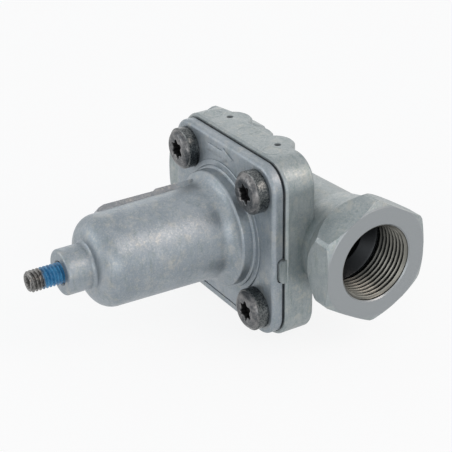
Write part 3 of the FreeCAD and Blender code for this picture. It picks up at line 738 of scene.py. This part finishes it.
# %% Floor
FLOOR_HALF, FLOOR_Z = 3, -0.0002
FLOOR_WHITE = 0.87
corners = [(sx * FLOOR_HALF, sy * FLOOR_HALF, FLOOR_Z)
           for sx, sy in ((-1, -1), (1, -1), (1, 1), (-1, 1))]
floor_mesh = bpy.data.meshes.new("floor")
floor_mesh.from_pydata(corners, [], [(0, 1, 2, 3)])
floor = bpy.data.objects.new("floor", floor_mesh)
bpy.context.collection.objects.link(floor)
ground = Finish("pale_floor")
ground.set(Base_Color=(0.94, 0.94, 0.94, 1), Roughness=0.9)
white = ground.node("ShaderNodeEmission", {"Color": (1, 1, 1, 1), "Strength": 1.0})
seen, mirrored, through = (ground.node("ShaderNodeLightPath", {}, output=ray)
                           for ray in ("Is Camera Ray", "Is Glossy Ray", "Is Transmission Ray"))
lit = Value(ground, ground.shader.outputs[0])
share = FLOOR_WHITE * (seen + mirrored + through)
mixed = ground.node("ShaderNodeMixShader", {0: share, 1: lit, 2: white})
ground.tree.links.new(mixed.socket, ground.tree.nodes["Material Output"].inputs["Surface"])
floor_mesh.materials.append(ground.material)
print("floor:", 2 * FLOOR_HALF, "m wide, white share", FLOOR_WHITE)

# %% [markdown]
# ## Light
# A large even light comes from the world. It is slightly cool, and the rays of the camera, of
# mirrors and of clear surfaces see plain white in its place. Five soft lamps shape the valve: a
# small warm key from behind for the highlight along the barrel, and four wider ones for the rim,
# the sides and the front.

# %% World
world = bpy.data.worlds.new("studio")
world.use_nodes = True
sky = world.node_tree
even_light = sky.nodes["Background"]
even_light.inputs["Color"].default_value = (0.9, 0.95, 1.0, 1)
even_light.inputs["Strength"].default_value = 0.6
backdrop = sky.nodes.new("ShaderNodeBackground")
backdrop.inputs["Color"].default_value = (1, 1, 1, 1)
rays = sky.nodes.new("ShaderNodeLightPath")
seen_or_mirrored = sky.nodes.new("ShaderNodeMath")
any_of_three = sky.nodes.new("ShaderNodeMath")
both = sky.nodes.new("ShaderNodeMixShader")
for start, end in (
        (rays.outputs["Is Camera Ray"], seen_or_mirrored.inputs[0]),
        (rays.outputs["Is Glossy Ray"], seen_or_mirrored.inputs[1]),
        (seen_or_mirrored.outputs[0], any_of_three.inputs[0]),
        (rays.outputs["Is Transmission Ray"], any_of_three.inputs[1]),
        (any_of_three.outputs[0], both.inputs[0]),
        (even_light.outputs[0], both.inputs[1]),
        (backdrop.outputs[0], both.inputs[2]),
        (both.outputs[0], sky.nodes["World Output"].inputs["Surface"])):
    sky.links.new(start, end)
bpy.context.scene.world = world
print("world strength:", round(even_light.inputs["Strength"].default_value, 2))

# %% Lamps
VALVE_MIDDLE = np.array([0, 0, 0.026])


def looking(side, up, back):
    """Rotation whose columns are an object's side, up and back directions."""
    return Matrix([[*row] for row in np.stack([side, up, back], axis=1)]).to_4x4()


def lamp(name, direction, distance_m, size, power, colour=(1, 1, 1)):
    """Square lamp that looks at the valve's middle from a direction."""
    data = bpy.data.lights.new(name, "AREA")
    data.size = size
    data.energy = power
    data.color = colour
    thing = bpy.data.objects.new(name, data)
    back = np.array(direction) / np.linalg.norm(direction)
    side = np.cross((0, 0, 1), back)
    side = side / np.linalg.norm(side)
    place = VALVE_MIDDLE + distance_m * back
    thing.matrix_world = Matrix.Translation(place) @ looking(side, np.cross(back, side), back)
    bpy.context.collection.objects.link(thing)
    print(name, "lamp:", power, "W from", [round(float(v), 2) for v in place])


lamp("key", (0.6, 0.45, 0.66), 0.75, 0.32, 1.1, (1, 0.85, 0.76))
lamp("rim", (-0.84, 0.48, 0.2), 0.9, 0.5, 0.4)
lamp("fill", (-0.6, -1.0, 0.35), 0.9, 0.6, 1.3)
lamp("side", (0.92, 0.1, 0.1), 0.9, 0.6, 0.6)
lamp("front", (0.86, -0.5, 0.0), 0.9, 0.8, 2.6)

# %% [markdown]
# ## Camera
# The camera's place was worked out from the outlines of round and square parts in the photograph,
# so it is given by its angles, its distance, a small shift and a focal length in pixels of an
# image 452 pixels wide.

# %% Camera
AZIMUTH, ELEVATION, ROLL = (math.radians(a) for a in (58.5, 26.81, -0.88))
DISTANCE_MM, ASIDE_MM, RISE_MM = 359.88, -2.34, -1.16
FOCAL_PX, IMAGE_PX, SENSOR_MM = 1258.6, 452, 36

back = np.array([math.sin(AZIMUTH) * math.cos(ELEVATION), -math.cos(AZIMUTH) * math.cos(ELEVATION),
                 math.sin(ELEVATION)])
level = np.array([math.cos(AZIMUTH), math.sin(AZIMUTH), 0])
rise = np.cross(back, level)
right = level * math.cos(ROLL) + rise * math.sin(ROLL)
up = rise * math.cos(ROLL) - level * math.sin(ROLL)
data = bpy.data.cameras.new("camera")
data.sensor_width = SENSOR_MM
data.lens = FOCAL_PX / IMAGE_PX * SENSOR_MM
data.clip_start, data.clip_end = 0.01, 20
camera = bpy.data.objects.new("camera", data)
bpy.context.collection.objects.link(camera)
place = to_frame(DISTANCE_MM * back + ASIDE_MM * right + RISE_MM * up)
camera.matrix_world = Matrix.Translation(place) @ looking(right, up, back)
bpy.context.scene.camera = camera
bpy.context.scene.view_settings.view_transform = "Standard"
print("lens:", round(data.lens, 1), "mm")
